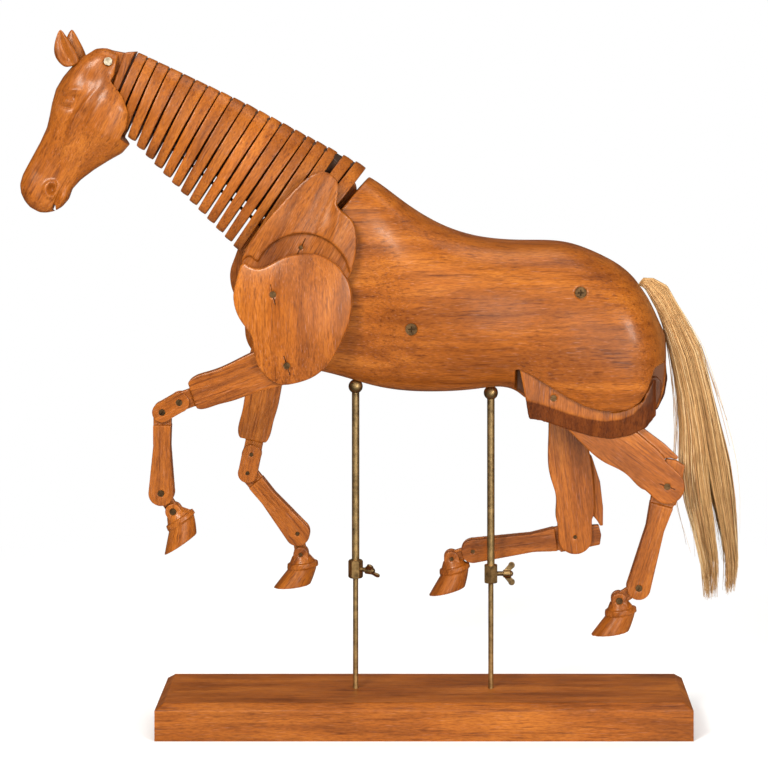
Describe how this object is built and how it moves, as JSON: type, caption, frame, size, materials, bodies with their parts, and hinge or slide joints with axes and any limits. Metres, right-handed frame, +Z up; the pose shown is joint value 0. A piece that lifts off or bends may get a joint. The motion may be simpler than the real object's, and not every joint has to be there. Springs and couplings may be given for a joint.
{
  "type": "artist mannequin",
  "caption": "Jointed wooden horse figure for drawing practice, with a sliced bending neck, pivoting legs and fibre tail, carried on adjustable brass rods above a bevelled base.",
  "frame": {"origin": "centre of the base's underside", "axes": "+Z up, +X towards the tail along the base, the horse faces -X, its left side is -Y"},
  "size_m": [0.6017, 0.108, 0.5864],
  "materials": {
    "body_wood": "satin oiled reddish-brown hardwood",
    "neck_wood": "satin oiled reddish-brown hardwood",
    "base_wood": "open-pored satin hardwood",
    "aged_brass": "aged",
    "screw_metal": "tarnished",
    "tail_fibre": "straw-coloured natural fibre"
  },
  "bodies": {
    "base": {"base_board": "base_wood", "stand_rods": "aged_brass"},
    "front_stand": {"front_tube": "aged_brass", "front_collar": "aged_brass"},
    "rear_stand": {"rear_tube": "aged_brass", "rear_collar": "aged_brass"},
    "front_wing": {"front_wing_screw": "aged_brass"},
    "rear_wing": {"rear_wing_screw": "aged_brass"},
    "trunk": {"trunk_core": "body_wood", "left_flank": "body_wood", "right_flank": "body_wood", "trunk_screws": "screw_metal"},
    "tail": {"tail": "tail_fibre"},
    "head": {"head": "body_wood", "ears": "body_wood", "head_screw": "screw_metal"},
    "poll": {"poll_block": "neck_wood"},
    "neck_1": {"neck_1": "neck_wood"},
    "neck_2": {"neck_2": "neck_wood"},
    "neck_3": {"neck_3": "neck_wood"},
    "neck_4": {"neck_4": "neck_wood"},
    "neck_5": {"neck_5": "neck_wood"},
    "neck_6": {"neck_6": "neck_wood"},
    "neck_7": {"neck_7": "neck_wood"},
    "neck_8": {"neck_8": "neck_wood"},
    "neck_9": {"neck_9": "neck_wood"},
    "left_scapula": {"left_scapula": "body_wood"},
    "left_humerus": {"left_humerus": "body_wood", "left_humerus_screws": "screw_metal"},
    "left_forearm": {"left_forearm": "body_wood"},
    "left_knee_links": {"left_knee_links": "body_wood", "left_knee_screws": "screw_metal"},
    "left_front_cannon": {"left_front_cannon": "body_wood"},
    "left_front_pastern": {"left_front_pastern": "body_wood", "left_front_pastern_screws": "screw_metal"},
    "left_front_hoof": {"left_front_hoof": "body_wood"},
    "right_scapula": {"right_scapula": "body_wood"},
    "right_humerus": {"right_humerus": "body_wood", "right_humerus_screws": "screw_metal"},
    "right_forearm": {"right_forearm": "body_wood"},
    "right_knee_links": {"right_knee_links": "body_wood", "right_knee_screws": "screw_metal"},
    "right_front_cannon": {"right_front_cannon": "body_wood"},
    "right_front_pastern": {"right_front_pastern": "body_wood", "right_front_pastern_screws": "screw_metal"},
    "right_front_hoof": {"right_front_hoof": "body_wood"},
    "left_thigh": {"left_thigh": "body_wood"},
    "left_gaskin": {"left_gaskin": "body_wood", "left_gaskin_screws": "screw_metal"},
    "left_hind_cannon": {"left_hind_cannon": "body_wood"},
    "left_hind_pastern": {"left_hind_pastern": "body_wood", "left_hind_pastern_screws": "screw_metal"},
    "left_hind_hoof": {"left_hind_hoof": "body_wood"},
    "right_thigh": {"right_thigh": "body_wood"},
    "right_gaskin": {"right_gaskin": "body_wood", "right_gaskin_screws": "screw_metal"},
    "right_hind_cannon": {"right_hind_cannon": "body_wood"},
    "right_hind_pastern": {"right_hind_pastern": "body_wood", "right_hind_pastern_screws": "screw_metal"},
    "right_hind_hoof": {"right_hind_hoof": "body_wood"}
  },
  "joints": [
    {"name": "front_height", "type": "slide", "parent": "base", "child": "front_stand", "axis": [0, 0, 1], "range_m": [-0.02, 0.04]},
    {"name": "body_pitch", "type": "hinge", "parent": "front_stand", "child": "trunk", "pos_m": [-0.0578, 0, 0.2833], "axis": [0, -1, 0], "range_deg": [-3, 3]},
    {"name": "rear_stand_tilt", "type": "hinge", "parent": "trunk", "child": "rear_stand", "pos_m": [0.0558, 0, 0.2779], "axis": [0, -1, 0], "range_deg": [-3, 3]},
    {"name": "front_wing_turn", "type": "hinge", "parent": "front_stand", "child": "front_wing", "pos_m": [-0.0578, 0, 0.1301], "axis": [0.866, -0.5, 0], "range_deg": [0, 170]},
    {"name": "rear_wing_turn", "type": "hinge", "parent": "rear_stand", "child": "rear_wing", "pos_m": [0.0558, 0, 0.126], "axis": [1, 0, 0], "range_deg": [0, 170]},
    {"name": "neck_bend", "type": "hinge", "parent": "trunk", "child": "neck_9", "pos_m": [-0.06035, 0, 0.44981], "axis": [0, -1, 0], "range_deg": [-1.6, 1.6]},
    {"name": "neck_sway", "type": "hinge", "parent": "neck_9", "child": "neck_8", "pos_m": [-0.09101, 0, 0.44967], "axis": [0.5794, 0, 0.815], "range_deg": [-2.5, 2.5]},
    {"name": "neck_bend_2", "type": "hinge", "parent": "neck_8", "child": "neck_7", "pos_m": [-0.11729, 0, 0.46654], "axis": [0, -1, 0], "range_deg": [-1.6, 1.6]},
    {"name": "neck_sway_2", "type": "hinge", "parent": "neck_7", "child": "neck_6", "pos_m": [-0.1362, 0, 0.4788], "axis": [0.5491, 0, 0.8357], "range_deg": [-2.5, 2.5]},
    {"name": "neck_bend_3", "type": "hinge", "parent": "neck_6", "child": "neck_5", "pos_m": [-0.15455, 0, 0.49075], "axis": [0, -1, 0], "range_deg": [-1.6, 1.6]},
    {"name": "neck_sway_3", "type": "hinge", "parent": "neck_5", "child": "neck_4", "pos_m": [-0.17409, 0, 0.50288], "axis": [0.5004, 0, 0.8658], "range_deg": [-2.5, 2.5]},
    {"name": "neck_bend_4", "type": "hinge", "parent": "neck_4", "child": "neck_3", "pos_m": [-0.19308, 0, 0.51434], "axis": [0, -1, 0], "range_deg": [-1.6, 1.6]},
    {"name": "neck_sway_4", "type": "hinge", "parent": "neck_3", "child": "neck_2", "pos_m": [-0.2122, 0, 0.52587], "axis": [0.436, 0, 0.8999], "range_deg": [-2.5, 2.5]},
    {"name": "neck_bend_5", "type": "hinge", "parent": "neck_2", "child": "neck_1", "pos_m": [-0.23132, 0, 0.5374], "axis": [0, -1, 0], "range_deg": [-1.6, 1.6]},
    {"name": "head_turn", "type": "hinge", "parent": "neck_1", "child": "poll", "pos_m": [-0.24768, 0, 0.54762], "axis": [0.4002, 0, 0.9164], "range_deg": [-2, 2]},
    {"name": "head_nod", "type": "hinge", "parent": "poll", "child": "head", "pos_m": [-0.2636, 0, 0.5566], "axis": [0, -1, 0], "range_deg": [-8, 1.5]},
    {"name": "tail_swing", "type": "hinge", "parent": "trunk", "child": "tail", "pos_m": [0.1822, 0, 0.366], "axis": [0, -1, 0], "range_deg": [-1, 12]},
    {"name": "left_scapula", "type": "hinge", "parent": "trunk", "child": "left_scapula", "pos_m": [-0.1017, -0.04, 0.4035], "axis": [0, -1, 0], "range_deg": [-7, 7]},
    {"name": "left_shoulder", "type": "hinge", "parent": "left_scapula", "child": "left_humerus", "pos_m": [-0.12401, -0.045, 0.36592], "axis": [0, -1, 0], "range_deg": [-9, 9]},
    {"name": "left_elbow", "type": "hinge", "parent": "left_humerus", "child": "left_forearm", "pos_m": [-0.11266, -0.034, 0.30752], "axis": [0, -1, 0], "range_deg": [-10, 40]},
    {"name": "left_upper_knee", "type": "hinge", "parent": "left_forearm", "child": "left_knee_links", "pos_m": [-0.2021, -0.034, 0.27549], "axis": [0, -1, 0], "range_deg": [-10, 20]},
    {"name": "left_lower_knee", "type": "hinge", "parent": "left_knee_links", "child": "left_front_cannon", "pos_m": [-0.21614, -0.034, 0.26742], "axis": [0, -1, 0], "range_deg": [-45, 20]},
    {"name": "left_front_fetlock", "type": "hinge", "parent": "left_front_cannon", "child": "left_front_pastern", "pos_m": [-0.21696, -0.034, 0.20072], "axis": [0, -1, 0], "range_deg": [-20, 20]},
    {"name": "left_front_coffin", "type": "hinge", "parent": "left_front_pastern", "child": "left_front_hoof", "pos_m": [-0.20715, -0.034, 0.18563], "axis": [0, -1, 0], "range_deg": [-15, 20]},
    {"name": "right_scapula", "type": "hinge", "parent": "trunk", "child": "right_scapula", "pos_m": [-0.1017, 0.04, 0.4035], "axis": [0, -1, 0], "range_deg": [-3, 14]},
    {"name": "right_shoulder", "type": "hinge", "parent": "right_scapula", "child": "right_humerus", "pos_m": [-0.13345, 0.045, 0.37347], "axis": [0, -1, 0], "range_deg": [-9, 9]},
    {"name": "right_elbow", "type": "hinge", "parent": "right_humerus", "child": "right_forearm", "pos_m": [-0.12827, 0.034, 0.3142], "axis": [0, -1, 0], "range_deg": [-35, 15]},
    {"name": "right_upper_knee", "type": "hinge", "parent": "right_forearm", "child": "right_knee_links", "pos_m": [-0.14737, 0.034, 0.22114], "axis": [0, -1, 0], "range_deg": [-10, 20]},
    {"name": "right_lower_knee", "type": "hinge", "parent": "right_knee_links", "child": "right_front_cannon", "pos_m": [-0.15065, 0.034, 0.20528], "axis": [0, -1, 0], "range_deg": [-40, 20]},
    {"name": "right_front_fetlock", "type": "hinge", "parent": "right_front_cannon", "child": "right_front_pastern", "pos_m": [-0.10823, 0.034, 0.15381], "axis": [0, -1, 0], "range_deg": [-20, 20]},
    {"name": "right_front_coffin", "type": "hinge", "parent": "right_front_pastern", "child": "right_front_hoof", "pos_m": [-0.10541, 0.034, 0.13603], "axis": [0, -1, 0], "range_deg": [-15, 20]},
    {"name": "left_hip", "type": "hinge", "parent": "trunk", "child": "left_thigh", "pos_m": [0.1465, -0.0255, 0.327], "axis": [0, -1, 0], "range_deg": [-3, 10]},
    {"name": "left_stifle", "type": "hinge", "parent": "left_thigh", "child": "left_gaskin", "pos_m": [0.10681, -0.0255, 0.27885], "axis": [0, -1, 0], "range_deg": [-20, 10]},
    {"name": "left_hock", "type": "hinge", "parent": "left_gaskin", "child": "left_hind_cannon", "pos_m": [0.20124, -0.0255, 0.20481], "axis": [0, -1, 0], "range_deg": [-15, 24]},
    {"name": "left_hind_fetlock", "type": "hinge", "parent": "left_hind_cannon", "child": "left_hind_pastern", "pos_m": [0.17771, -0.0255, 0.12053], "axis": [0, -1, 0], "range_deg": [-15, 14]},
    {"name": "left_hind_coffin", "type": "hinge", "parent": "left_hind_pastern", "child": "left_hind_hoof", "pos_m": [0.16155, -0.0255, 0.11016], "axis": [0, -1, 0], "range_deg": [-25, 4]},
    {"name": "right_hip", "type": "hinge", "parent": "trunk", "child": "right_thigh", "pos_m": [0.1465, 0.0255, 0.327], "axis": [0, -1, 0], "range_deg": [-12, 2]},
    {"name": "right_stifle", "type": "hinge", "parent": "right_thigh", "child": "right_gaskin", "pos_m": [0.11672, 0.0255, 0.27216], "axis": [0, -1, 0], "range_deg": [-8, 25]},
    {"name": "right_hock", "type": "hinge", "parent": "right_gaskin", "child": "right_hind_cannon", "pos_m": [0.1276, 0.0255, 0.15266], "axis": [0, -1, 0], "range_deg": [-2, 40]},
    {"name": "right_hind_fetlock", "type": "hinge", "parent": "right_hind_cannon", "child": "right_hind_pastern", "pos_m": [0.04097, 0.0255, 0.14033], "axis": [0, -1, 0], "range_deg": [-15, 20]},
    {"name": "right_hind_coffin", "type": "hinge", "parent": "right_hind_pastern", "child": "right_hind_hoof", "pos_m": [0.02279, 0.0255, 0.13417], "axis": [0, -1, 0], "range_deg": [-25, 3]}
  ],
  "couplings": [
    {"joint": "rear_stand_tilt", "follows": "body_pitch", "ratio": -1},
    {"joint": "neck_bend_2", "follows": "neck_bend", "ratio": 1},
    {"joint": "neck_bend_3", "follows": "neck_bend", "ratio": 1},
    {"joint": "neck_bend_4", "follows": "neck_bend", "ratio": 1},
    {"joint": "neck_bend_5", "follows": "neck_bend", "ratio": 1},
    {"joint": "neck_sway_2", "follows": "neck_sway", "ratio": 1},
    {"joint": "neck_sway_3", "follows": "neck_sway", "ratio": 1},
    {"joint": "neck_sway_4", "follows": "neck_sway", "ratio": 1}
  ]
}
